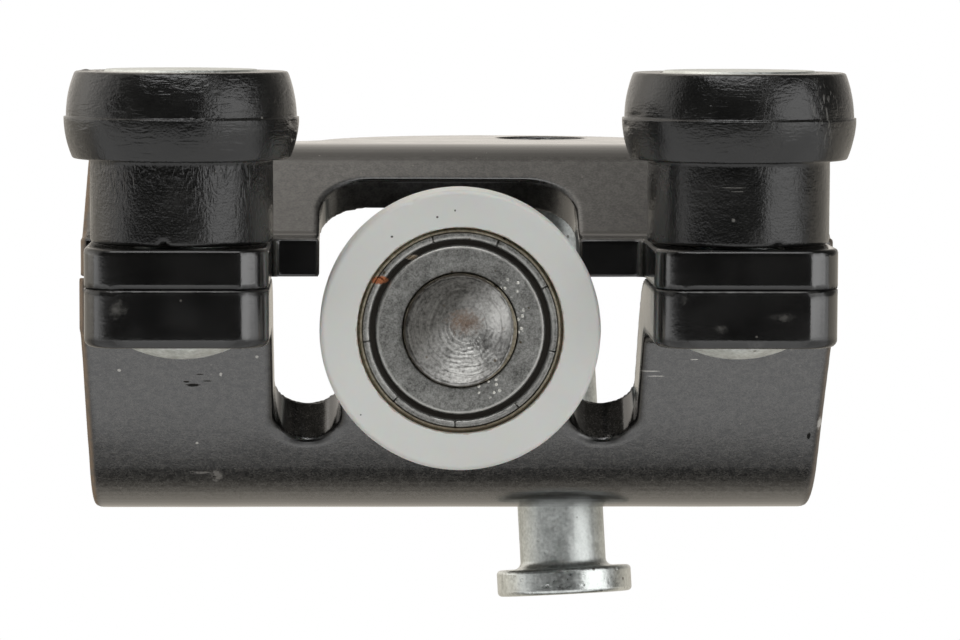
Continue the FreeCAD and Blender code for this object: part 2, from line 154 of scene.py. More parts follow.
def blend(tree, factor, a, b):
    """Colour a where the factor is 0 and colour b where it is 1. A plain colour is (red, green, blue)."""
    made = put(tree, "ShaderNodeMix", data_type="RGBA")
    for key, value in (("Factor", factor), ("A", a), ("B", b)):
        socket = [s for s in made.inputs if s.name == key and s.enabled][0]
        if isinstance(value, bpy.types.NodeSocket):
            tree.links.new(value, socket)
        else:
            socket.default_value = (*value, 1.0) if isinstance(value, tuple) else value
    return [s for s in made.outputs if s.enabled][0]


def tint(tree, shade, mask, share, colour):
    """A shade with a colour laid over it, by a share of a mask."""
    return blend(tree, times(tree, mask, share), shade, colour)


def grey(level):
    return (level, level, level)


def own_place(tree, stretch=(1, 1, 1), turn=(0, 0, 0)):
    """Place on the piece in its own frame, stretched and turned."""
    place = put(tree, "ShaderNodeTexCoord").outputs["Object"]
    if stretch == (1, 1, 1) and turn == (0, 0, 0):
        return place
    return put(tree, "ShaderNodeMapping", {"Vector": place, "Scale": stretch, "Rotation": turn}).outputs[0]


def own_axes(tree):
    """The three coordinates of a place on the piece, by the names X, Y and Z."""
    return put(tree, "ShaderNodeSeparateXYZ", {0: own_place(tree)}).outputs


def by_side(tree, axes, right):
    """1 on the left half of the carriage and a given share on its right half."""
    return remap(tree, axes["X"], -1 * mm, 1 * mm, 1.0, right)

# %% [markdown]
# ## Studio
# The set is a pale table and a white surround. Soft boxes stand to the right, to the left, in front and
# overhead, and the room behind the camera stays dim, so that black parts keep their depth. Glossy black
# shows little but what it mirrors, so the table is painted by what a ray is for. Mirrored rays find a
# bright table in front, a narrow painted shadow under the carriage, darker than the lamps make it, and
# a warm table behind it. The lens finds a plain pale table with a soft shadow, which fades to white far
# away. From below it is clear.

# %% Surround
warm_wall = (1.0, 0.94, 0.86)
dim_wall = (0.24, 0.226, 0.205)
dim_room = grey(0.03)

world = bpy.data.worlds.new("surround")
bpy.context.scene.world = world
world.use_nodes = True
sky = world.node_tree
sky.nodes.clear()
toward = put(sky, "ShaderNodeSeparateXYZ", {0: put(sky, "ShaderNodeTexCoord").outputs["Generated"]}).outputs
leftward = times(sky, toward["X"], -0.25)
behind = remap(sky, plus(sky, toward["Y"], leftward), -0.1, 0.5)
height = remap(sky, plus(sky, toward["Z"], toward["X"]), 0.3, 1.1)
room = blend(sky, behind, dim_room, blend(sky, height, warm_wall, dim_wall))
seen = put(sky, "ShaderNodeLightPath").outputs["Is Camera Ray"]
ground = put(sky, "ShaderNodeBackground", {"Color": blend(sky, seen, room, grey(1.0)), "Strength": 1.0})
put(sky, "ShaderNodeOutputWorld", {"Surface": ground.outputs[0]})
print("surround made")

# %% Table
table_drop = 25 * mm
table_front = -0.36
table_back = 3.0
table_side = 3.0
table_z = cad_low[2] - table_drop
table_corners = [(-table_side, table_front, table_z), (table_side, table_front, table_z),
                 (table_side, table_back, table_z), (-table_side, table_back, table_z)]
table_mesh = bpy.data.meshes.new("table")
table_mesh.from_pydata(table_corners, [], [(0, 1, 2, 3)])
table = bpy.data.objects.new("table", table_mesh)
bpy.context.scene.collection.objects.link(table)
print("table at", round(table_z / mm, 1), "mm")

# %% Table finish
shadow_front = 14.5 * mm
shadow_back = 24.5 * mm
shadow_edge = 2 * mm
white_from = 85 * mm
white_to = 150 * mm
pale_card = grey(0.8)
# Mirrored rays see this dark card where their glow is off, under the carriage: a painted shadow.
painted_shadow_card = grey(0.12)
warm_table = (0.68, 0.63, 0.55)

pale = bpy.data.materials.new("pale_table")
pale.use_nodes = True
tree = pale.node_tree
tree.nodes.clear()
path = put(tree, "ShaderNodeLightPath").outputs
across = own_axes(tree)["Y"]
away = length_of(tree, own_place(tree))
mirrored = larger(tree, path["Is Glossy Ray"], path["Is Transmission Ray"])
beyond = times(tree, mirrored, remap(tree, across, shadow_front, shadow_back))
glow_colour = blend(tree, beyond, grey(1.0), warm_table)
# Between shadow_front and shadow_back mirrored rays get no glow, only the dark card: a painted shadow
# strip.
near = remap(tree, across, shadow_front - shadow_edge, shadow_front + shadow_edge, 1.0, 0.0)
lit = larger(tree, near, remap(tree, across, shadow_back, 2 * shadow_back))
far = times(tree, path["Is Camera Ray"], remap(tree, away, white_from, white_to))
share = larger(tree, far, times(tree, mirrored, lit))
card = put(tree, "ShaderNodeBsdfDiffuse", {"Color": blend(tree, mirrored, pale_card, painted_shadow_card)})
glow = put(tree, "ShaderNodeEmission", {"Color": glow_colour, "Strength": 1.0})
both = put(tree, "ShaderNodeMixShader", {0: share, 1: card.outputs[0], 2: glow.outputs[0]})
under = put(tree, "ShaderNodeNewGeometry").outputs["Backfacing"]
clear = put(tree, "ShaderNodeBsdfTransparent")
sheet = put(tree, "ShaderNodeMixShader", {0: under, 1: both.outputs[0], 2: clear.outputs[0]})
put(tree, "ShaderNodeOutputMaterial", {"Surface": sheet.outputs[0]})
table_mesh.materials.append(pale)
print("finish:", pale.name)

# %% Soft boxes
def soft_box(name, azimuth, elevation, distance, size, power, colour=(1, 1, 1)):
    """Rectangular lamp that faces the wheel. Azimuth turns from the camera's side to the right."""
    lamp = bpy.data.lights.new(name, "AREA")
    lamp.shape = "RECTANGLE"
    lamp.size = size[0]
    lamp.size_y = size[1]
    lamp.energy = power
    lamp.color = colour
    a = math.radians(azimuth)
    e = math.radians(elevation)
    from_wheel = np.array([math.sin(a) * math.cos(e), -math.cos(a) * math.cos(e), math.sin(e)])
    stand = bpy.data.objects.new(name, lamp)
    stand.location = from_wheel * distance
    stand.rotation_euler = (math.pi / 2 - e, 0, a)
    bpy.context.scene.collection.objects.link(stand)


soft_box("right_box", 54, 4, 0.9, (0.75, 0.8), 4.1)
soft_box("left_box", -96, 12, 0.9, (0.8, 0.9), 1.4)
soft_box("top_box", -128, 68, 0.8, (0.55, 0.5), 0.95, (1.0, 0.95, 0.88))
soft_box("front_box", -8, 54, 0.8, (0.8, 0.34), 3.2)
print("four soft boxes")

# %% [markdown]
# ## Turned surfaces
# A wheel, a roller or a pin is a profile carried round an axis. The profile is a short list of
# corners, each with its own radius. It is filled in with fine steps, and the whole surface is then
# one grid of numpy arrays: one parameter runs along the profile and one runs round the axis.

# %% Profile helpers
def rounded_profile(corners, step, closed=False):
    """Points along a profile. A corner is (radius from the axis, place along it, edge radius).

    Where the edge radius is above 0, the corner becomes an arc that meets both runs at the distance
    radius / tan(half the inner angle). Straight runs are cut into equal steps.
    """
    points = np.array([c[:2] for c in corners], float)
    count = len(points)
    path = []
    for i, corner in enumerate(corners):
        here = points[i]
        edge = corner[2] if len(corner) > 2 else 0.0
        inner = closed or 0 < i < count - 1
        if edge <= 0 or not inner:
            path.append(here[None])
            continue
        back = points[i - 1] - here
        ahead = points[(i + 1) % count] - here
        back /= np.linalg.norm(back)
        ahead /= np.linalg.norm(ahead)
        half = math.acos(np.clip(back @ ahead, -1, 1)) / 2
        reach = edge / math.tan(half)
        centre = here + (back + ahead) / np.linalg.norm(back + ahead) * edge / math.sin(half)
        start = here + back * reach - centre
        end = here + ahead * reach - centre
        turn = math.pi - 2 * half
        t = np.linspace(0, 1, max(4, int(turn * edge / step) + 2))[:, None]
        arc = (np.sin((1 - t) * turn) * start + np.sin(t * turn) * end) / math.sin(turn)
        path.append(centre + arc)
    path = np.concatenate(path)
    if closed:
        path = np.concatenate([path, path[:1]])
    filled = []
    for a, b in zip(path[:-1], path[1:]):
        n = max(1, int(np.linalg.norm(b - a) / step))
        filled.append(a + (b - a) * np.linspace(0, 1, n, endpoint=False)[:, None])
    if not closed:
        filled.append(path[-1:])
    return np.concatenate(filled)


def arc_through(a, b, c, count):
    """Points on the circle through a, b and c, from a to c: the centre is equally far from all three."""
    a, b, c = (np.array(p, float) for p in (a, b, c))
    left = 2 * np.array([b - a, c - a])
    centre = np.linalg.solve(left, [b @ b - a @ a, c @ c - a @ a])
    radius = np.linalg.norm(a - centre)
    angles = np.unwrap([math.atan2(*(p - centre)[::-1]) for p in (a, b, c)])
    swing = np.linspace(angles[0], angles[2], count)
    return centre + radius * np.stack([np.cos(swing), np.sin(swing)], 1)

# %% Height helpers
def soft_noise(u, v, seed, wrap=None):
    """Smooth random heights from -1 to 1: lattice values joined by the curve 3t^2 - 2t^3.

    One lattice cell is one unit of u or v. Where wrap is given, u repeats after that many cells.
    """
    lattice = np.random.default_rng(seed).uniform(-1, 1, (256, 256))
    iu = np.floor(u).astype(int)
    iv = np.floor(v).astype(int)
    fu = u - iu
    fv = v - iv
    fu = fu * fu * (3 - 2 * fu)
    fv = fv * fv * (3 - 2 * fv)
    next_u = iu + 1
    if wrap:
        iu = iu % wrap
        next_u = next_u % wrap
    rows = lattice[iu % 256, iv % 256] * (1 - fu) + lattice[next_u % 256, iv % 256] * fu
    rows_up = lattice[iu % 256, (iv + 1) % 256] * (1 - fu) + lattice[next_u % 256, (iv + 1) % 256] * fu
    return rows * (1 - fv) + rows_up * fv


def bell(theta, along, at_theta, at_along, wide, tall):
    """Round bump of height 1: e to the minus square of the distance, in shares of its width and height."""
    swing = np.angle(np.exp(1j * (theta - at_theta)))
    return np.exp(-((swing / wide) ** 2 + ((along - at_along) / tall) ** 2))


def around_wheel(radius, y, turn):
    """Points round the wheel's axis: x is radius * sin(turn), z is radius * cos(turn)."""
    radius, y, turn = np.broadcast_arrays(radius, y, turn)
    return np.stack([radius * np.sin(turn), y, radius * np.cos(turn)], -1)


def full_turn(count):
    return np.linspace(0, 2 * math.pi, count, endpoint=False)[None]

# %% Mesh helpers
def grid_faces(rows, columns, wrap_rows):
    """Four corners of each cell of a grid whose columns close round, and whose rows may."""
    i = np.arange(rows if wrap_rows else rows - 1)[:, None]
    j = np.arange(columns)[None]
    below = (i + 1) % rows
    beside = (j + 1) % columns
    quads = [i * columns + j, i * columns + beside, below * columns + beside, below * columns + j]
    return np.stack([np.broadcast_to(q, (len(i), columns)) for q in quads], -1).reshape(-1, 4)


def surface_object(name, points, wrap_rows):
    """Mesh object from a grid of points; open ends are closed by one flat face each."""
    rows, columns = points.shape[:2]
    faces = grid_faces(rows, columns, wrap_rows).tolist()
    if not wrap_rows:
        faces.append(list(range(columns))[::-1])
        faces.append(list(range((rows - 1) * columns, rows * columns)))
    mesh = bpy.data.meshes.new(name)
    mesh.from_pydata(points.reshape(-1, 3).tolist(), [], faces)
    mesh.validate()
    mesh.polygons.foreach_set("use_smooth", np.ones(len(mesh.polygons), bool))
    made = bpy.data.objects.new(name, mesh)
    bpy.context.scene.collection.objects.link(made)
    turn_outward(mesh)
    print(name, len(mesh.polygons), "faces")
    return made


def turn_outward(mesh):
    """Flip a closed mesh if its volume, the sum of face centre dot area vector, comes out negative."""
    count = len(mesh.polygons)
    centres = np.empty(count * 3)
    normals = np.empty(count * 3)
    areas = np.empty(count)
    mesh.polygons.foreach_get("center", centres)
    mesh.polygons.foreach_get("normal", normals)
    mesh.polygons.foreach_get("area", areas)
    volume = np.sum(np.sum((centres * normals).reshape(-1, 3), 1) * areas)
    if volume < 0:
        mesh.flip_normals()


def dress(piece, body, node, material):
    """Let a finished piece stand for a CAD node, ride on its body and wear a material."""
    piece.data.materials.append(material)
    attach(piece, body)
    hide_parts(node)


def repaint(node, material):
    """Give a CAD node a finished material in place of its plain one."""
    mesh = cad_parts[node].data
    mesh.materials.clear()
    mesh.materials.append(material)

# %% [markdown]
# ## Shared effects
# Specks, grain, skin wrinkles, turning marks, rings of dirt and of painted light, and single marks turn
# up on several finishes, so each is one node group. A group gives out only masks and heights; the shader
# itself stays in the material.

# %% Group helpers
def effect_group(name, inputs, outputs):
    """Empty shader group. Inputs are (name, value) pairs of a number or a vector; outputs are numbers."""
    group = bpy.data.node_groups.new(name, "ShaderNodeTree")
    for key, value in inputs:
        kind = "NodeSocketVector" if isinstance(value, tuple) else "NodeSocketFloat"
        group.interface.new_socket(key, in_out="INPUT", socket_type=kind).default_value = value
    for key in outputs:
        group.interface.new_socket(key, in_out="OUTPUT", socket_type="NodeSocketFloat")
    return group, group.nodes.new("NodeGroupInput").outputs, group.nodes.new("NodeGroupOutput").inputs


def use_group(tree, group, **values):
    return put(tree, "ShaderNodeGroup", values, node_tree=group).outputs


def noise(tree, place, scale, detail=3.0, roughness=0.5, distortion=0.0):
    made = put(tree, "ShaderNodeTexNoise", {"Vector": place, "Scale": scale, "Detail": detail,
                                            "Roughness": roughness, "Distortion": distortion})
    return made.outputs[0]

# %% Specks and grain
def specks_group():
    """Small round spots: the inside of a few cells of a Voronoi pattern, chosen by their random colour."""
    group, given, out = effect_group("specks", [("Scale", 400.0), ("Size", 0.2), ("Share", 0.1)], ["Mask"])
    cells = put(group, "ShaderNodeTexVoronoi", {"Vector": own_place(group), "Scale": given["Scale"]})
    chosen = put(group, "ShaderNodeSeparateColor", {0: cells.outputs["Color"]}).outputs[0]
    chosen = math_node(group, "LESS_THAN", chosen, given["Share"])
    near = math_node(group, "DIVIDE", cells.outputs["Distance"], given["Size"])
    spot = remap(group, near, 0.6, 1.0, 1.0, 0.0)
    group.links.new(times(group, spot, chosen), out["Mask"])
    return group


def grain_group():
    """Fine skin: two noises, one fine and one three times coarser, added as a height round 0.5."""
    group, given, out = effect_group("grain", [("Scale", 2500.0)], ["Height", "Patch"])
    place = own_place(group)
    fine = noise(group, place, given["Scale"], 2.0)
    coarse = noise(group, place, times(group, given["Scale"], 0.3), 2.0)
    height = plus(group, times(group, fine, 0.6), times(group, coarse, 0.4))
    group.links.new(height, out["Height"])
    patch = noise(group, place, times(group, given["Scale"], 0.05), 3.0)
    group.links.new(remap(group, patch, 0.35, 0.65), out["Patch"])
    return group


specks = specks_group()
grain = grain_group()
print("groups:", specks.name, grain.name)

# %% Wrinkles and turning marks
nowhere = (0.0, 0.0, 0.0)


def wrinkles_group(name, stretch, turn):
    """Shallow folds: a noise drawn out one way and bent by its own distortion, inside random patches."""
    group, given, out = effect_group(name, [("Scale", 900.0), ("Cover", 0.5), ("Bend", 1.0)], ["Height"])
    folds = noise(group, own_place(group, stretch, turn), given["Scale"], 1.5, distortion=given["Bend"])
    patch = noise(group, own_place(group), times(group, given["Scale"], 0.16), 2.0)
    level = invert(group, given["Cover"])
    patch = remap(group, minus(group, patch, level), -0.06, 0.08)
    rise = times(group, minus(group, folds, 0.5), patch)
    group.links.new(rise, out["Height"])
    return group


def turning_group():
    """Tool marks in rings: a noise of the distance from a centre, counted only along two axes."""
    inputs = [("Place", nowhere), ("Centre", nowhere), ("Across", (1.0, 0.0, 1.0)), ("Scale", 3000.0)]
    group, given, out = effect_group("turning_marks", inputs, ["Height"])
    off = vector_node(group, "SUBTRACT", given["Place"], given["Centre"])
    off = vector_node(group, "MULTIPLY", off, given["Across"])
    reach = length_of(group, off)
    sway = times(group, noise(group, own_place(group), 500.0, 2.0), 0.0006)
    ring = put(group, "ShaderNodeCombineXYZ", {0: plus(group, reach, sway)}).outputs[0]
    rings = noise(group, ring, given["Scale"], 2.0)
    broken = noise(group, own_place(group), 900.0, 3.0)
    rise = times(group, minus(group, rings, 0.5), broken)
    group.links.new(rise, out["Height"])
    return group


level_wrinkles = wrinkles_group("level_wrinkles", (0.3, 0.3, 1.3), (0, 0, 0))
upright_wrinkles = wrinkles_group("upright_wrinkles", (1.2, 1.2, 0.5), (0, 0.3, 0))
turning_marks = turning_group()


def ring_marks(tree, scale, centre=nowhere):
    """Heights of turning marks round the wheel's axis, or round a centre beside it."""
    return use_group(tree, turning_marks, Place=own_place(tree), Centre=centre, Scale=scale)["Height"]


print("groups:", level_wrinkles.name, upright_wrinkles.name, turning_marks.name)

# %% Rings of dirt and single marks
def ring_group():
    """Band round the wheel's axis: 1 where the radius lies between Inner and Outer, with ragged edges."""
    inputs = [("Inner", 10 * mm), ("Outer", 11 * mm), ("Soft", 0.2 * mm), ("Ragged", 0.3 * mm)]
    group, given, out = effect_group("ring_band", inputs, ["Mask"])
    reach = length_of(group, own_place(group, (1, 0, 1)))
    torn = minus(group, noise(group, own_place(group), 1400.0, 3.0), 0.5)
    reach = plus(group, reach, times(group, torn, given["Ragged"]))
    rise = math_node(group, "DIVIDE", minus(group, reach, given["Inner"]), given["Soft"])
    fall = math_node(group, "DIVIDE", minus(group, given["Outer"], reach), given["Soft"])
    band = times(group, remap(group, rise, 0.0, 1.0), remap(group, fall, 0.0, 1.0))
    group.links.new(band, out["Mask"])
    return group


def mark_group():
    """One mark: 1 inside an ellipsoid round a place and 0 outside it, with a ragged edge."""
    inputs = [("Place", nowhere), ("Size", (1.0, 1.0, 1.0)), ("Ragged", 0.5), ("Soft", 0.3)]
    group, given, out = effect_group("mark", inputs, ["Mask"])
    off = vector_node(group, "SUBTRACT", own_place(group), given["Place"])
    reach = length_of(group, vector_node(group, "DIVIDE", off, given["Size"]))
    torn = minus(group, noise(group, own_place(group), 2600.0, 3.0), 0.5)
    reach = plus(group, reach, times(group, torn, given["Ragged"]))
    inner = invert(group, given["Soft"])
    group.links.new(remap(group, reach, inner, 1.0, 1.0, 0.0), out["Mask"])
    return group


ring_band = ring_group()
mark = mark_group()


def band_mask(tree, inner, outer, soft, ragged=0.3):
    """A ring between two radii, all in mm; it marks dirt, wear, painted shade and painted highlights."""
    return use_group(tree, ring_band, Inner=inner * mm, Outer=outer * mm, Soft=soft * mm,
                     Ragged=ragged * mm)["Mask"]


def marks_mask(tree, marks, ragged=0.5, soft=0.3):
    """The highest of several marks, each (x, y, z, half width, half depth, half height) in mm."""
    mask = 0.0
    for spot in marks:
        place = tuple(value * mm for value in spot[:3])
        size = tuple(value * mm for value in spot[3:])
        one = use_group(tree, mark, Place=place, Size=size, Ragged=ragged, Soft=soft)["Mask"]
        mask = larger(tree, one, mask)
    return mask


print("groups:", [group.name for group in bpy.data.node_groups])

# %% Material helpers
def new_finish(name, **fixed):
    """Material with one Principled shader; fixed values are set on its sockets. Gives tree and shader."""
    finish = bpy.data.materials.new(name)
    finish.use_nodes = True
    tree = finish.node_tree
    shader = tree.nodes["Principled BSDF"]
    for key, value in fixed.items():
        shader.inputs[key.replace("_", " ")].default_value = value
    return finish, tree, shader


def wear(tree, shader, colour, rough, metal=None):
    """Join a colour, a roughness and, where given, a metal share to the shader."""
    tree.links.new(colour, shader.inputs["Base Color"])
    tree.links.new(rough, shader.inputs["Roughness"])
    if metal is not None:
        tree.links.new(metal, shader.inputs["Metallic"])


def emboss(tree, shader, *heights):
    """Feed heights to the shader's normal. Each is (height from 0 to 1, how tall 1 is)."""
    total = 0.0
    for height, tall in heights:
        total = plus(tree, times(tree, height, tall / mm), total)
    bump = put(tree, "ShaderNodeBump", {"Height": total, "Distance": mm, "Strength": 1.0})
    tree.links.new(bump.outputs[0], shader.inputs["Normal"])

# %% [markdown]
# ## Black moulded rollers
# The two guide rollers are injection moulded in black plastic. The head is a barrel with a parting
# line round its widest part, where the lower half stands slightly proud. The plastic has set with a
# wrinkled skin: level folds on the heads, and upright ones, like a fingerprint, mostly on the left neck.
# The folds are thin heights in the finish, and the nicks and the bead of flash are in the mesh.

# %% Roller finish
roller_root = 18.3 * mm
# Light marks on the right roller: level lines on its neck, and a patch of slanting rubs on its head.
# Marks are (x, y, z, half width, half depth, half height) in mm, here and on the other pieces.
neck_scratches = [(27.9, -12.7, 15.7, 1.8, 0.6, 0.06), (28.6, -12.7, 15.3, 0.7, 0.6, 0.04),
                  (28.2, -12.6, 12.3, 0.2, 0.5, 0.2)]
rubbed_patch = [(37.6, -11.4, 23.6, 2.6, 3.0, 4.4)]


def roller_finish():
    """Black plastic: grain all over, level folds mostly on the heads, upright folds on the necks."""
    finish, tree, shader = new_finish("wrinkled_black_plastic", IOR=1.52)
    axes = own_axes(tree)
    head = remap(tree, axes["Z"], roller_root - 0.1 * mm, roller_root + 0.3 * mm)
    neck = remap(tree, axes["Z"], roller_root - 6 * mm, roller_root - 1 * mm, 0.3, 1)
    neck = times(tree, invert(tree, head), times(tree, neck, by_side(tree, axes, 0.25)))
    skin = use_group(tree, grain, Scale=4200.0)
    level = use_group(tree, level_wrinkles, Scale=1250.0, Cover=0.58, Bend=1.6)["Height"]
    level = times(tree, level, remap(tree, head, 0, 1, 0.3, 1.0))
    level = times(tree, level, by_side(tree, axes, 0.75))
    upright = use_group(tree, upright_wrinkles, Scale=1350.0, Cover=0.62, Bend=1.5)["Height"]
    upright = times(tree, upright, neck)
    dust = use_group(tree, specks, Scale=620.0, Size=0.10, Share=0.035)["Mask"]
    dashes = noise(tree, own_place(tree, (1.7, 1.7, 0.6), (0, 0.7, 0)), 1500.0, 2.0)
    rubs = times(tree, marks_mask(tree, rubbed_patch, 0.6, 0.9), remap(tree, dashes, 0.55, 0.64))
    scuffs = larger(tree, rubs, marks_mask(tree, neck_scratches, 1.2))
    shade = blend(tree, skin["Patch"], (0.007, 0.007, 0.0067), (0.013, 0.0128, 0.0121))
    shade = tint(tree, shade, scuffs, 0.9, (0.15, 0.147, 0.138))
    shade = blend(tree, dust, shade, (0.20, 0.195, 0.18))
    wear(tree, shader, shade, remap(tree, skin["Patch"], 0, 1, 0.2, 0.28))
    emboss(tree, shader, (skin["Height"], 0.05 * mm), (level, 0.075 * mm), (upright, 0.13 * mm))
    return finish


black_plastic = roller_finish()
print("finish:", black_plastic.name)

# %% Roller profile
roller_columns = 420
roller_step = 0.16 * mm
neck_radius = 9.7 * mm
rim_radius = 11.5 * mm
mid_rise = 0.71 * mm
parting_z = 22.7 * mm
parting_step = 0.25 * mm
parting_land = 0.03 * mm
bore_radius = 5.05 * mm
sink_radius = 8.45 * mm
sink_floor = 25.5 * mm
neck_round = 0.4 * mm
rim_round = 0.35 * mm
sink_round = 0.1 * mm
arc_points = 24


def roller_profile(low_z, top_z, crown):
    """Outline of the moulding from the bore's foot, out round neck and head, to the sunk top."""
    bulge = rim_radius + mid_rise
    lower_arc = arc_through((rim_radius, roller_root), (bulge, (roller_root + parting_z) / 2),
                            (crown, parting_z), arc_points)
    upper_arc = arc_through((crown - parting_step, parting_z + parting_land),
                            (bulge - parting_step, (parting_z + top_z) / 2),
                            (rim_radius - parting_step, top_z), arc_points)
    corners = [(bore_radius, low_z, 0.2 * mm), (neck_radius, low_z, neck_round),
               (neck_radius, roller_root, neck_round), (*lower_arc[0], rim_round)]
    corners += [tuple(p) for p in lower_arc[2:]]
    corners += [tuple(p) for p in upper_arc[:-2]]
    corners += [(*upper_arc[-1], rim_round), (sink_radius, top_z, 0.12 * mm),
                (sink_radius, sink_floor, sink_round), (bore_radius, sink_floor, sink_round)]
    return rounded_profile(corners, roller_step, closed=True)

# %% Roller shape
def make_roller(side, seed, nicks, flash):
    """Profile carried round the roller's axis: x is r cos(theta), y is r sin(theta), from the axis.

    The outer skin is pushed in and out by two soft noises. A nick takes a bell-shaped bite out of the
    radius, and flash lifts the top rim by a bell.
    """
    node = "guide_roller_" + side
    low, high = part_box(node)
    crown = (high.x - low.x) / 2
    profile = roller_profile(low.z, high.z, crown)
    theta = full_turn(roller_columns)
    r = profile[:, :1]
    z = profile[:, 1:]
    skin = (r > bore_radius * 1.2) & ((r > sink_radius * 1.01) | (z < roller_root))
    wave = soft_noise(theta * 18 / math.pi, z / (2.5 * mm) + 40, seed, 36)
    fine = soft_noise(theta * 90 / math.pi, z / (0.5 * mm) + 60, seed + 1, 180)
    push = (0.018 * wave + 0.006 * fine) * mm
    for at_theta, at_z, wide, tall, depth in nicks:
        bite = bell(theta, z, math.radians(at_theta), at_z * mm, wide * mm / rim_radius, tall * mm)
        push = push - bite * depth * mm
    radius = np.minimum(r + push * skin, crown)
    lift = np.zeros_like(radius)
    for at_theta, at_r, wide, tall in flash:
        bead = bell(theta, r, math.radians(at_theta), at_r * mm, wide * mm / rim_radius, wide * mm)
        lift = lift + bead * tall * mm * (z > high.z - 0.4 * mm)
    points = np.stack([(low.x + high.x) / 2 + radius * np.cos(theta),
                       (low.y + high.y) / 2 + radius * np.sin(theta), z + lift], -1)
    piece = surface_object("moulded_roller_" + side, points, True)
    dress(piece, side + "_roller", node, black_plastic)


# A nick is (turn, height, width, height of the mark, depth) and flash is (turn, radius, width, height).
# Turns are in degrees and lengths in mm.
left_nicks = [(-99, 9.5, 0.55, 0.45, 0.5), (-60, 20.5, 1.6, 0.25, 0.06), (-18, 22.3, 0.8, 0.4, 0.14),
              (-14, 20.6, 0.7, 0.35, 0.12)]
left_flash = [(181, 10.1, 0.55, 0.18), (200, 9.2, 0.3, 0.1)]
right_nicks = [(-70, 9.6, 0.6, 0.3, 0.2), (-160, 23.0, 1.2, 0.35, 0.12), (-170, 21.9, 0.9, 0.4, 0.14),
               (-55, 26.2, 0.7, 0.5, 0.05)]
make_roller("left", 11, left_nicks, left_flash)
make_roller("right", 23, right_nicks, [])

# %% [markdown]
# ## White nylon tyre
# The load wheel's tread is a plain nylon ring pressed over the bearing. Nylon lets a little light in,
# so its edges glow. A few dark grains sit in its face, grease has stained the edge of its bore, and
# the rim has one nick.

# %% Tyre finish
grit_marks = [(-2.5, -4.0, 12.1, 0.14, 0.5, 0.12), (-0.6, -4.0, 12.8, 0.11, 0.5, 0.12),
              (-7.3, -4.0, 10.0, 0.15, 0.5, 0.13), (-10.6, -4.0, -9.0, 0.1, 0.5, 0.1)]


def nylon_finish():
    """Nylon: a faint mottle and faint rings, a brown stain at the bore, a worn rim and dark grains."""
    finish, tree, shader = new_finish("satin_nylon", IOR=1.53, Subsurface_Weight=0.25,
                                      Subsurface_Scale=0.8 * mm)
    skin = use_group(tree, grain, Scale=900.0)
    rubbed = ring_marks(tree, 1500.0)
    stain = band_mask(tree, 10.5, 11.14, 0.1, 0.35)
    worn_rim = band_mask(tree, 14.45, 16, 0.5, 0.4)
    shade = blend(tree, skin["Patch"], (0.70, 0.715, 0.69), (0.75, 0.765, 0.74))
    shade = tint(tree, shade, worn_rim, 0.25, (0.56, 0.57, 0.54))
    shade = tint(tree, shade, stain, 0.6, (0.22, 0.17, 0.10))
    shade = blend(tree, marks_mask(tree, grit_marks, 0.9), shade, (0.06, 0.055, 0.05))
    wear(tree, shader, shade, remap(tree, skin["Patch"], 0, 1, 0.36, 0.48))
    emboss(tree, shader, (skin["Height"], 0.006 * mm), (rubbed, 0.006 * mm))
    return finish


white_nylon = nylon_finish()
print("finish:", white_nylon.name)

# %% Tyre shape
tyre_columns = 480
tread_round = 0.5 * mm
bore_round = 0.08 * mm
nick_turn = math.radians(-21)


def make_tyre():
    """Ring section carried round the wheel's axis, worn a little and nicked at the front rim."""
    low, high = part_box("wheel_tyre")
    tread = high.x
    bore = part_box("bearing_outer_ring")[1].x
    corners = [(bore, low.y, bore_round), (tread, low.y, tread_round), (tread, high.y, tread_round),
               (bore, high.y, bore_round)]
    profile = rounded_profile(corners, 0.16 * mm, closed=True)
    turn = full_turn(tyre_columns)
    r = profile[:, :1]
    y = profile[:, 1:]
    outer = np.clip((r - bore) / (tread - bore), 0, 1) ** 2
    rub = soft_noise(turn * 30 / math.pi, y / (2 * mm) + 20, 5, 60) - 1
    nick = bell(turn, y, nick_turn, low.y, 0.045, 0.9 * mm)
    nick = nick * (0.75 + 0.25 * soft_noise(turn * 150 / math.pi, y / (0.4 * mm) + 20, 8, 300))
    radius = r + (0.012 * rub - 0.38 * nick) * mm * outer
    piece = surface_object("nylon_tyre", around_wheel(radius, y, turn), True)
    dress(piece, "wheel", "wheel_tyre", white_nylon)


make_tyre()

# %% [markdown]
# ## Ball bearing
# What shows of the bearing is its outer ring, tarnished brown where grease has crept out, and the
# pressed shield. The shield's rim is slit into nine segments and curled into a groove of the ring.
# Inside it runs a deep gutter, dark with old grease and painted shade, between two lips with painted
# highlights, then a flat washer face, where bright crumbs of metal have gathered to the right of the
# axle. A flake of rust lies across the rim, and a torn sliver bridges the gutter. The slits, the gutter
# and the sliver are geometry, because they catch the light; the columns of the grid are bunched at the
# slits, which keeps the mesh small.

# %% Bearing finishes
rust_flake = [(-8.55, -3.4, 5.35, 1.15, 1.2, 0.5)]
torn_sliver = [(-5.1, -3.3, 7.75, 1.0, 0.8, 0.32)]
bright_crumbs = [(5.6, -3.4, 4.6, 1.7, 1.0, 1.2), (2.9, -3.4, -6.0, 1.9, 1.0, 1.5),
                 (6.4, -3.4, 1.0, 0.6, 1.0, 1.8)]
rust_red = (0.36, 0.125, 0.05)
# Old grease and painted shade: the dark of the shield's gutter and hub.
grease_and_painted_shade = (0.016, 0.013, 0.009)


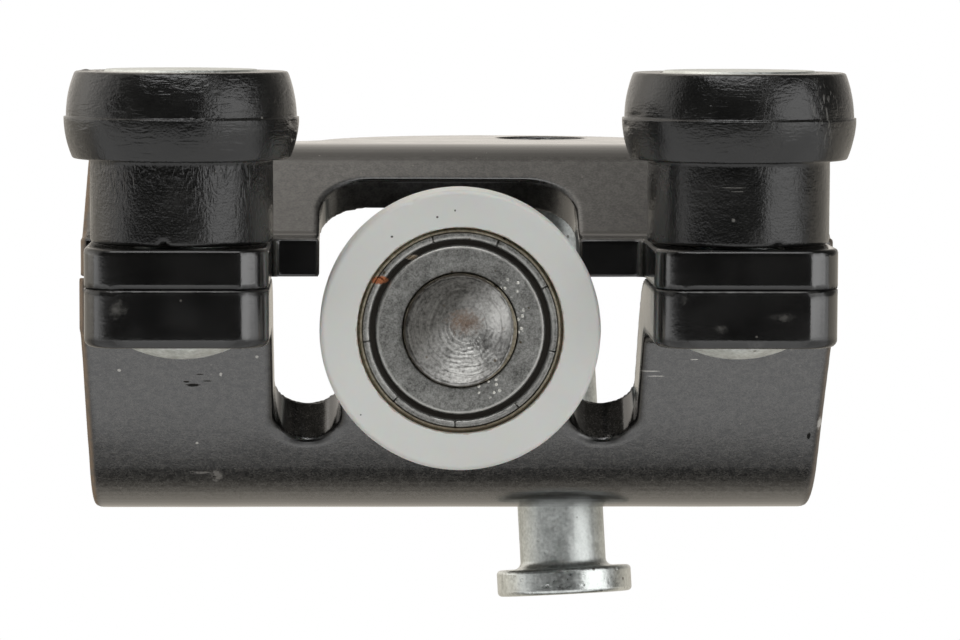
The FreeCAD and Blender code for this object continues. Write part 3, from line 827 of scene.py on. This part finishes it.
def steel_skin(tree, dark, light, grain_size, dirt, dirt_share, rough):
    """Mottled bare steel with specks of dirt. Gives its colour, roughness, dirt mask and grain height."""
    skin = use_group(tree, grain, Scale=grain_size)
    crumbs = use_group(tree, specks, Scale=1100.0, Size=0.25, Share=dirt_share)["Mask"]
    grit = remap(tree, skin["Height"], 0.36, 0.64)
    shade = blend(tree, blend(tree, 0.65, skin["Patch"], grit), dark, light)
    shade = blend(tree, crumbs, shade, dirt)
    return shade, remap(tree, skin["Height"], 0.3, 0.7, *rough), crumbs, skin["Height"]


def ball_finish():
    """Ball steel: polished, with no marks of its own."""
    finish, tree, shader = new_finish("polished_ball_steel", Metallic=1.0)
    shade, dull, _, height = steel_skin(tree, (0.55, 0.55, 0.54), (0.62, 0.62, 0.61), 900.0,
                                        (0.40, 0.38, 0.34), 0.02, (0.12, 0.2))
    wear(tree, shader, shade, dull)
    emboss(tree, shader, (height, 0.006 * mm))
    return finish


def ring_finish():
    """Ring steel: mottled and turned, brown low down where grease gathers, and rusty at the flake."""
    finish, tree, shader = new_finish("tarnished_ring_steel")
    shade, dull, _, height = steel_skin(tree, (0.18, 0.156, 0.11), (0.54, 0.49, 0.38), 2600.0,
                                        (0.07, 0.05, 0.03), 0.14, (0.38, 0.58))
    low = remap(tree, own_axes(tree)["Z"], -6 * mm, -11 * mm, 0.0, 0.6)
    shade = blend(tree, low, shade, (0.10, 0.07, 0.038))
    rust = marks_mask(tree, rust_flake, 0.7)
    shade = blend(tree, rust, shade, rust_red)
    rings = ring_marks(tree, 5000.0)
    metal = minus(tree, invert(tree, rust), times(tree, low, 0.6))
    wear(tree, shader, shade, larger(tree, dull, times(tree, rust, 0.9)), metal)
    emboss(tree, shader, (height, 0.012 * mm), (rings, 0.02 * mm), (rust, 0.12 * mm))
    return finish


def shield_finish():
    """Shield steel: painted highlights on the lips, old grease and painted shade in the gutter and round
    the hub, rust, a sliver and crumbs.
    """
    finish, tree, shader = new_finish("pressed_shield_steel")
    shade, dull, crumbs, height = steel_skin(tree, (0.115, 0.115, 0.107), (0.45, 0.45, 0.43), 6000.0,
                                             (0.10, 0.085, 0.06), 0.10, (0.40, 0.56))
    # Old grease and painted shade in the gutter and round the hub.
    gutter = band_mask(tree, 8.98, 9.74, 0.12, 0.12)
    hub = band_mask(tree, 5.0, 6.28, 0.1, 0.3)
    sliver = marks_mask(tree, torn_sliver, 0.8)
    dirt = larger(tree, gutter, times(tree, hub, 0.7))
    dirt = times(tree, dirt, invert(tree, sliver))
    rust = marks_mask(tree, rust_flake, 0.7)
    flecks = use_group(tree, specks, Scale=1700.0, Size=0.36, Share=0.55)["Mask"]
    flecks = times(tree, flecks, marks_mask(tree, bright_crumbs, 1.0))
    # Painted highlights on the two lips of the gutter.
    painted_lip_highlights = larger(tree, band_mask(tree, 8.62, 8.98, 0.1), band_mask(tree, 9.8, 10.12, 0.1))
    shade = tint(tree, shade, painted_lip_highlights, 0.3, (0.80, 0.79, 0.75))
    shade = blend(tree, dirt, shade, grease_and_painted_shade)
    shade = blend(tree, times(tree, sliver, gutter), shade, (0.30, 0.25, 0.19))
    shade = blend(tree, rust, shade, rust_red)
    shade = blend(tree, flecks, shade, (0.75, 0.74, 0.68))
    soiled = larger(tree, rust, dirt)
    wear(tree, shader, shade, larger(tree, dull, times(tree, soiled, 0.9)), invert(tree, soiled))
    emboss(tree, shader, (height, 0.016 * mm), (rust, 0.08 * mm), (flecks, 0.05 * mm), (crumbs, 0.01 * mm))
    return finish


ring_steel = ring_finish()
shield_steel = shield_finish()
ball_steel = ball_finish()
print("finishes:", ring_steel.name, shield_steel.name, ball_steel.name)

# %% Front shield shape
slit_count = 9
slit_first = math.radians(23)
slit_bunch = 0.8
slit_half = 0.075 * mm
slit_depth = 0.26 * mm
shield_sheet = 0.3 * mm
rim_in = 9.72 * mm
gutter_out = 9.6 * mm
gutter_in = 9.12 * mm
gutter_depth = 0.6 * mm
flat_out = 9.0 * mm
hub_gap = 0.12 * mm
seat_gap = 0.06 * mm
shield_columns = 720
flake_turn = math.radians(-58)
sliver_turn = math.radians(-33.5)


def bunched_turns(count):
    """Turns packed near the slits: turn = s - bunch / slits * sin(slits * (s - first slit))."""
    s = full_turn(count)
    return s - slit_bunch / slit_count * np.sin(slit_count * (s - slit_first))


def shield_profile(seat, face, floor, hole):
    """Front line of the pressing, then its back line, and which rows belong to the front."""
    low = face + gutter_depth
    under = face + shield_sheet
    deep = low + 0.8 * shield_sheet
    front = rounded_profile([
        (seat, floor), (seat, face, 0.16 * mm), (rim_in, face, 0.28 * mm), (gutter_out, low, 0.1 * mm),
        (gutter_in, low, 0.1 * mm), (flat_out, face, 0.35 * mm), (hole, face, 0.12 * mm), (hole, under),
    ], 0.1 * mm)
    step_in = 0.15 * mm
    back = rounded_profile([
        (flat_out - step_in, under), (gutter_in - step_in, deep), (gutter_out + step_in, deep),
        (rim_in + step_in, under), (seat - shield_sheet, under), (seat - shield_sheet, floor),
    ], 0.3 * mm)
    return np.concatenate([front, back]), (np.arange(len(front) + len(back)) < len(front))[:, None]


def make_front_shield():
    """Closed section carried round the wheel's axis, with slits, uneven segments, rust and a torn sliver.

    A slit is a trench whose depth falls off as a bell of the distance along the rim from the nearest
    slit. Each segment between two slits stands a little in or out by a random step.
    """
    low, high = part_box("bearing_front_shield")
    face = low.y
    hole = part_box("bearing_inner_ring")[1].x + hub_gap
    profile, front = shield_profile(high.x - seat_gap, face, high.y, hole)
    turn = bunched_turns(shield_columns)
    r = profile[:, :1]
    y = profile[:, 1:]
    cell = (turn - slit_first) * slit_count / (2 * math.pi)
    off = (cell - np.round(cell)) * 2 * math.pi / slit_count * r
    on_rim = np.clip((r - gutter_out) / (0.1 * mm), 0, 1) * front
    steps = np.random.default_rng(3).uniform(-1, 1, slit_count)[np.floor(cell).astype(int) % slit_count]
    rough = soft_noise(turn * 80 / math.pi, r / (0.3 * mm), 14, 160)
    trench = slit_depth * np.exp(-(off / slit_half) ** 2)
    lump = bell(turn, r, flake_turn, 10.0 * mm, 0.05, 0.55 * mm) * (0.10 + 0.05 * rough) * mm * front
    in_gutter = np.clip(1 - np.abs(r - (gutter_in + gutter_out) / 2) / (0.35 * mm), 0, 1) * front
    bridge = bell(turn, r, sliver_turn, 9.4 * mm, 0.055, 0.6 * mm) * (0.42 + 0.08 * rough) * mm
    y = y + on_rim * (trench + (0.035 * steps + 0.012 * rough) * mm) - lump - in_gutter * bridge
    piece = surface_object("pressed_front_shield", around_wheel(r, y, turn), True)
    dress(piece, "wheel", "bearing_front_shield", shield_steel)


make_front_shield()
for node in ("bearing_outer_ring", "bearing_inner_ring"):
    repaint(node, ring_steel)
for node in ("bearing_rear_shield", "bearing_cage_front", "bearing_cage_rear"):
    repaint(node, shield_steel)
for number in range(1, 8):
    repaint("bearing_ball_%d" % number, ball_steel)

# %% [markdown]
# ## Riveted axle
# The axle was peened with a spinning punch, which left a dimple with ring marks and a brown, rusty
# bottom a little off the middle. A surface of two parameters suits it: one runs from the dimple's
# bottom to its rim, the other runs round. Painted shade darkens the dimple's upper left and its ring
# grooves, a painted highlight lightens its right side, and a dark band of old grease and painted shade
# fills the gap round the head.

# %% Axle finish
dimple_rim = 5.6 * mm
dimple_depth = 2.0 * mm
dimple_power = 1.6
apex_x = 0.69 * mm
apex_z = 0.43 * mm
# A painted highlight on the right side of the dimple.
painted_highlight_patch = [(4.0, -4.0, -0.4, 1.7, 3.0, 3.6)]
brown_bottom = [(0.55, -2.6, 0.75, 2.2, 2.0, 1.6)]


def axle_finish():
    """Spun steel: rings round the dimple's bottom, painted shade left and a painted highlight right, a
    brown bottom, a dark rim.
    """
    finish, tree, shader = new_finish("spun_axle_steel")
    shade, dull, crumbs, height = steel_skin(tree, (0.15, 0.147, 0.138), (0.68, 0.675, 0.65), 3200.0,
                                             (0.20, 0.16, 0.11), 0.08, (0.36, 0.56))
    rings = ring_marks(tree, 2600.0, (apex_x, 0.0, apex_z))
    axes = own_axes(tree)
    # Painted shade over the dimple's upper left, streaked by the rings.
    upper_left = plus(tree, times(tree, axes["X"], -0.75), times(tree, axes["Z"], 0.66))
    upper_left = plus(tree, upper_left, times(tree, rings, 4 * mm))
    painted_shade = remap(tree, upper_left, -1.8 * mm, 2.4 * mm)
    smear = plus(tree, times(tree, rings, 2.0), height)
    painted_shade_colour = blend(tree, remap(tree, smear, 0.3, 0.75), (0.014, 0.013, 0.011), (0.115, 0.11, 0.10))
    bottom = marks_mask(tree, brown_bottom, 1.5, 0.8)
    rim = times(tree, band_mask(tree, 5.78, 7, 0.15, 0.5), remap(tree, axes["Y"], 4 * mm, 3 * mm))
    shade = tint(tree, shade, marks_mask(tree, painted_highlight_patch, 0.9, 0.8), 0.7, (0.92, 0.91, 0.88))
    shade = tint(tree, shade, painted_shade, 0.9, painted_shade_colour)
    shade = tint(tree, shade, bottom, 0.75, (0.16, 0.095, 0.055))
    # Painted shade in the ring grooves.
    shade = blend(tree, remap(tree, rings, -0.03, -0.13, 0.0, 0.7), shade, (0.07, 0.064, 0.057))
    # The dark rim is old grease and painted shade in the gap round the head.
    shade = tint(tree, shade, rim, 0.85, (0.035, 0.026, 0.016))
    dirt = larger(tree, rim, times(tree, bottom, 0.6))
    wear(tree, shader, shade, dull, invert(tree, dirt))
    emboss(tree, shader, (height, 0.03 * mm), (rings, 0.10 * mm), (crumbs, 0.01 * mm))
    return finish


axle_steel = axle_finish()
print("finish:", axle_steel.name)

# %% Axle shape
axle_columns = 360
axle_shank = 4.0 * mm
axle_collar = 5.7 * mm
axle_tail = 6.0 * mm
tail_height = 2.4 * mm
tongue_front = 11.54 * mm
bowl_rows = 66
bowl_rings = 12
bite_turn = math.radians(100)


def make_wheel_axle():
    """Dimple and section in one grid of rows.

    In the dimple, a point lies a share s of the way from the bottom, which is off the axis, to the rim
    circle, and is depth * (1 - s^power) deep, with rings of sin(2 pi * count * s). The rest is a
    section carried round the axis, whose head has a ragged edge and a bite on the right.
    """
    low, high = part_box("wheel_axle")
    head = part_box("bearing_inner_ring")[1].x
    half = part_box("bearing_outer_ring")[1].y
    tongue_rear = high.y - tail_height
    turn = full_turn(axle_columns)
    s = np.linspace(0.01, 1, bowl_rows)[:, None]
    sway = soft_noise(turn * 6 / math.pi, s * 5 + 10, 71, 12)
    rough = soft_noise(turn * 50 / math.pi, s * 26 + 10, 72, 100)
    rings = np.sin(2 * math.pi * (bowl_rings * s + 0.7 * sway))
    fade = np.clip(6 * (1 - s), 0, 1)
    y = low.y + dimple_depth * (1 - s ** dimple_power) + (0.010 * rings + 0.014 * rough) * mm * fade
    bowl = around_wheel(s * dimple_rim, y, turn)
    bowl[..., 0] += (1 - s) * apex_x
    bowl[..., 2] += (1 - s) * apex_z
    section = rounded_profile([
        (dimple_rim, low.y), (head, low.y, 0.3 * mm), (head, -half, 0.05 * mm), (axle_shank, -half),
        (axle_shank, half), (axle_collar, half, 0.2 * mm), (axle_collar, tongue_front, 0.2 * mm),
        (axle_shank, tongue_front), (axle_shank, tongue_rear), (axle_tail, tongue_rear, 0.1 * mm),
        (axle_tail, high.y, 1.6 * mm), (0.05 * mm, high.y),
    ], 0.22 * mm)[1:]
    r = section[:, :1]
    along = section[:, 1:]
    on_head = (along < -half + 0.1 * mm) & (r > dimple_rim)
    ragged = 0.05 * soft_noise(turn * 36 / math.pi, along / (0.6 * mm) + 30, 73, 72) - 0.05
    bite = 0.36 * bell(turn, 0, bite_turn, 0, 0.8, 1)
    rest = around_wheel(r + (ragged - bite) * mm * on_head, along, turn)
    piece = surface_object("spun_wheel_axle", np.concatenate([bowl, rest]), False)
    dress(piece, "frame", "wheel_axle", axle_steel)


make_wheel_axle()

# %% [markdown]
# ## Zinc plated pins
# The two roller rivets and the headed pivot pin are zinc plated, a pale, mottled and pitted metal. The
# rivets were turned and show rings; the pin is streaked along its shank by the drawing die, and its head
# is smoother. Their CAD solids have the true shape, so only the finish is new.

# %% Zinc finish
rivet_x = 29.6 * mm
rivet_y = -3.0 * mm
pin_head_z = -30.0 * mm


def zinc_finish(name, height_of, tall):
    """Zinc plate with a mottled skin and pits; height_of gives the tool marks of one kind of piece."""
    finish, tree, shader = new_finish(name, Metallic=1.0)
    shade, dull, _, height = steel_skin(tree, (0.46, 0.487, 0.47), (0.86, 0.89, 0.87), 2600.0,
                                        (0.22, 0.22, 0.20), 0.07, (0.40, 0.54))
    marks = height_of(tree)
    pits = use_group(tree, specks, Scale=1000.0, Size=0.24, Share=0.2)["Mask"]
    shade = blend(tree, remap(tree, marks, 0.05, 0.2, 0.0, 0.35), shade, (0.28, 0.29, 0.285))
    head = remap(tree, own_axes(tree)["Z"], pin_head_z, pin_head_z - 1 * mm, 0.0, 0.15)
    wear(tree, shader, shade, minus(tree, dull, head))
    emboss(tree, shader, (height, 0.034 * mm), (marks, tall), (invert(tree, pits), 0.02 * mm))
    return finish


def drawn_marks(tree):
    """Streaks along the pin, as a drawing die leaves them: a noise drawn out along the shank."""
    return minus(tree, noise(tree, own_place(tree, (1, 1, 0.05)), 700.0, 2.0), 0.5)


def turned_marks(tree):
    """Rings round each rivet's own axis; the right and left rivets share one centre by the size of x."""
    axes = own_axes(tree)
    folded_x = math_node(tree, "ABSOLUTE", axes["X"])
    folded = put(tree, "ShaderNodeCombineXYZ", {0: folded_x, 1: axes["Y"]}).outputs[0]
    return use_group(tree, turning_marks, Place=folded, Centre=(rivet_x, rivet_y, 0.0),
                     Across=(1.0, 1.0, 0.0), Scale=2200.0)["Height"]


rivet_zinc = zinc_finish("turned_zinc_plate", turned_marks, 0.05 * mm)
pin_zinc = zinc_finish("drawn_zinc_plate", drawn_marks, 0.02 * mm)
for node in ("guide_axle_left", "guide_axle_right"):
    repaint(node, rivet_zinc)
repaint("pivot_pin", pin_zinc)
print("finishes:", rivet_zinc.name, pin_zinc.name)

# %% [markdown]
# ## Painted brackets
# Both brackets are pressed from steel sheet and dipped in black paint. Their folds and cut-outs come
# from CAD. A fine copy of each solid is made, so that it can carry a slight unevenness, as pressed
# sheet has, and a value at each point for how sharply the surface bends there. The paint is worn and
# dulled where that value is high, it has gone brown along the sheared sides, and it carries a few
# scratches, chips and smudges at their places. The tabs are oily and mirror the dark room, while the
# sloping webs are dusty and get a lighter, grainy base by the way they face, which is painted light.

# %% Paint marks
sheared_side = 40.3 * mm
pale_dots = [(-37.0, 9.0, -5.5, 0.22, 1.0, 0.18), (-25.9, 9.4, -6.0, 0.18, 1.0, 0.26),
             (-21.9, 7.6, -3.9, 0.2, 1.0, 0.18), (-28.8, 16.4, -14.4, 0.18, 1.0, 0.16),
             (26.0, 7.9, -4.2, 0.5, 1.0, 0.07), (20.9, 8.9, -5.6, 1.6, 1.2, 0.09),
             (21.9, 9.4, -6.2, 1.1, 1.0, 0.07), (40.7, 14.2, -12.4, 0.35, 1.2, 1.4)]
smudges = [(-35.9, -13.0, 2.9, 1.1, 1.0, 1.2), (27.0, -13.0, 0.9, 0.9, 1.0, 0.5),
           (30.6, -13.0, -0.7, 1.0, 1.0, 0.4), (23.1, -13.0, 4.0, 0.5, 1.0, 0.5),
           (33.5, -13.0, 2.2, 1.4, 1.0, 0.5)]
low_scuffs = [(-26.7, 20.4, -18.5, 0.75, 4.0, 0.85), (-28.9, 20.4, -18.1, 1.7, 4.0, 0.22)]
dark_chips = [(-29.0, 10.4, -7.3, 0.8, 1.0, 0.2), (-29.7, 10.2, -6.9, 0.4, 1.0, 0.12),
              (-27.4, 10.2, -6.8, 0.5, 1.0, 0.08), (-28.2, 9.6, -6.0, 0.4, 1.0, 0.07),
              (39.6, 15.7, -13.6, 0.2, 1.0, 0.5), (24.6, 12.1, 12.4, 0.5, 1.5, 0.25),
              (-12.9, 12.6, 12.9, 0.5, 1.5, 0.2)]


def web_mask(tree, axes):
    """1 on the sloping webs: faces behind the tabs whose normal has a y between -0.87 and -0.55."""
    normal = put(tree, "ShaderNodeTexCoord").outputs["Normal"]
    facing = put(tree, "ShaderNodeSeparateXYZ", {0: normal}).outputs["Y"]
    slope = times(tree, remap(tree, facing, -0.4, -0.55), remap(tree, facing, -0.97, -0.87))
    return times(tree, slope, remap(tree, axes["Y"], 2 * mm, 5 * mm))


def sheared_mask(tree, axes, broken):
    """1 on the sheared sides, weaker on the right one and broken up by a noise."""
    off_middle = math_node(tree, "ABSOLUTE", axes["X"])
    side = remap(tree, off_middle, sheared_side, sheared_side + 0.35 * mm)
    side = times(tree, side, by_side(tree, axes, 0.35))
    return times(tree, side, remap(tree, broken, 0.30, 0.55, 0.35, 1.0))


print("marks on the paint:", len(pale_dots + smudges + low_scuffs + dark_chips))

# %% Paint finish
def paint_finish():
    """Black paint: oily tabs, webs with a lighter grainy base of dust and painted light, then wear, brown
    sides, dust and the single marks.
    """
    finish, tree, shader = new_finish("worn_black_paint", IOR=1.9)
    axes = own_axes(tree)
    skin = use_group(tree, grain, Scale=4200.0)
    flow = use_group(tree, level_wrinkles, Scale=700.0, Cover=0.55, Bend=0.6)["Height"]
    edge = put(tree, "ShaderNodeAttribute", attribute_name="edge").outputs["Fac"]
    broken = noise(tree, own_place(tree), 900.0, 4.0, 0.6)
    worn = times(tree, remap(tree, edge, 0.25, 0.9), remap(tree, broken, 0.38, 0.62))
    side = sheared_mask(tree, axes, broken)
    web = web_mask(tree, axes)
    dust = use_group(tree, specks, Scale=850.0, Size=0.13, Share=0.10)["Mask"]
    smear = times(tree, marks_mask(tree, smudges, 1.4, 0.9), remap(tree, broken, 0.35, 0.65))
    scuffed = times(tree, marks_mask(tree, low_scuffs, 1.2, 0.4), remap(tree, broken, 0.42, 0.52))
    chips = marks_mask(tree, dark_chips, 1.0)
    grit = remap(tree, skin["Height"], 0.38, 0.62)
    # Webs, picked by which way they face, get a lighter, grainy base of dust and painted light.
    dust_and_painted_light = blend(tree, grit, (0.001, 0.001, 0.001), (0.060, 0.058, 0.054))
    oily = blend(tree, skin["Patch"], (0.002, 0.0019, 0.0017), (0.006, 0.0058, 0.0053))
    shade = blend(tree, web, oily, dust_and_painted_light)
    shade = tint(tree, shade, worn, 0.3, (0.14, 0.135, 0.13))
    shade = tint(tree, shade, side, 0.8, (0.24, 0.155, 0.085))
    shade = tint(tree, shade, dust, 0.7, (0.14, 0.135, 0.12))
    shade = tint(tree, shade, smear, 0.7, (0.14, 0.137, 0.128))
    shade = tint(tree, shade, scuffed, 0.75, (0.26, 0.25, 0.235))
    shade = blend(tree, chips, shade, (0.012, 0.012, 0.011))
    shade = blend(tree, marks_mask(tree, pale_dots, 0.8), shade, (0.50, 0.49, 0.46))
    oily_rough = remap(tree, skin["Patch"], 0, 1, 0.12, 0.16)
    dusty_rough = remap(tree, axes["Z"], 0, 6 * mm, 0.17, 0.32)
    rough = plus(tree, blend(tree, web, oily_rough, dusty_rough), times(tree, side, 0.3))
    rough = plus(tree, rough, remap(tree, edge, 0.08, 0.35, 0.0, 0.14))
    dulled = times(tree, remap(tree, edge, 0.08, 0.35, 0.0, 0.55), invert(tree, web))
    wear(tree, shader, shade, rough, larger(tree, chips, dulled))
    pit = invert(tree, larger(tree, chips, worn))
    orange_peel = times(tree, skin["Height"], remap(tree, web, 0, 1, 0.7, 1.0))
    emboss(tree, shader, (orange_peel, 0.014 * mm), (flow, 0.005 * mm), (pit, 0.02 * mm))
    return finish


black_paint = paint_finish()
print("finish:", black_paint.name)

# %% Fine copies of the folded sheets
def fine_copy(node, voxel):
    """Even mesh over a CAD solid: a voxel skin, drawn back onto the exact surface."""
    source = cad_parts[node]
    mesh = source.data.copy()
    made = bpy.data.objects.new("painted_" + node, mesh)
    bpy.context.scene.collection.objects.link(made)
    weld = made.modifiers.new("weld", "WELD")
    weld.merge_threshold = 0.001 * mm
    skin = made.modifiers.new("skin", "REMESH")
    skin.mode = "VOXEL"
    skin.voxel_size = voxel
    wrap = made.modifiers.new("wrap", "SHRINKWRAP")
    wrap.target = source
    graph = bpy.context.evaluated_depsgraph_get()
    made.data = bpy.data.meshes.new_from_object(made.evaluated_get(graph))
    made.modifiers.clear()
    made.data.materials.clear()
    made.data.name = made.name
    return made


def bend_values(mesh):
    """How sharply a mesh bends outward at each point, and its points and normals.

    The value is the normal part of the way from the mean of a point's neighbours to the point,
    divided by the square of their mean distance. A fold outward is above 0 and a flat is 0.
    """
    count = len(mesh.vertices)
    place = np.empty(count * 3)
    normal = np.empty(count * 3)
    mesh.vertices.foreach_get("co", place)
    mesh.vertices.foreach_get("normal", normal)
    place = place.reshape(-1, 3)
    normal = normal.reshape(-1, 3)
    ends = np.empty(len(mesh.edges) * 2, int)
    mesh.edges.foreach_get("vertices", ends)
    a, b = ends.reshape(-1, 2).T
    degree = np.bincount(ends, minlength=count)

    def around_mean(values):
        total = np.stack([np.bincount(a, v[b], count) + np.bincount(b, v[a], count) for v in values.T], 1)
        return total / degree[:, None]

    span = np.mean(np.linalg.norm(place[a] - place[b], axis=1))
    bend = np.sum((place - around_mean(place)) * normal, 1) / span ** 2
    for _ in range(2):
        bend = 0.5 * bend + 0.5 * around_mean(bend[:, None])[:, 0]
    return bend, place, normal


def paint_bracket(node, voxel, edge_radius):
    """Fine copy of one bracket, waved by a few hundredths of a millimetre, with its edge value stored."""
    piece = fine_copy(node, voxel)
    mesh = piece.data
    bend, place, normal = bend_values(mesh)
    edge = np.clip(bend * edge_radius * 2, 0, 1)
    wave = soft_noise(place[:, 0] / (7 * mm) + 40, (place[:, 1] - place[:, 2]) / (7 * mm) + 40, 31)
    low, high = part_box(node)
    place = np.clip(place + normal * (wave * 0.02 * mm)[:, None], low, high)
    mesh.vertices.foreach_set("co", place.ravel())
    mesh.attributes.new("edge", "FLOAT", "POINT").data.foreach_set("value", edge.astype(np.float32))
    mesh.polygons.foreach_set("use_smooth", np.ones(len(mesh.polygons), bool))
    mesh.update()
    dress(piece, "frame", node, black_paint)
    print(piece.name, len(mesh.polygons), "faces, edge share", round(float(np.mean(edge > 0.5)), 3))


paint_bracket("upper_bracket", 0.32 * mm, 0.4 * mm)
paint_bracket("lower_bracket", 0.34 * mm, 0.8 * mm)
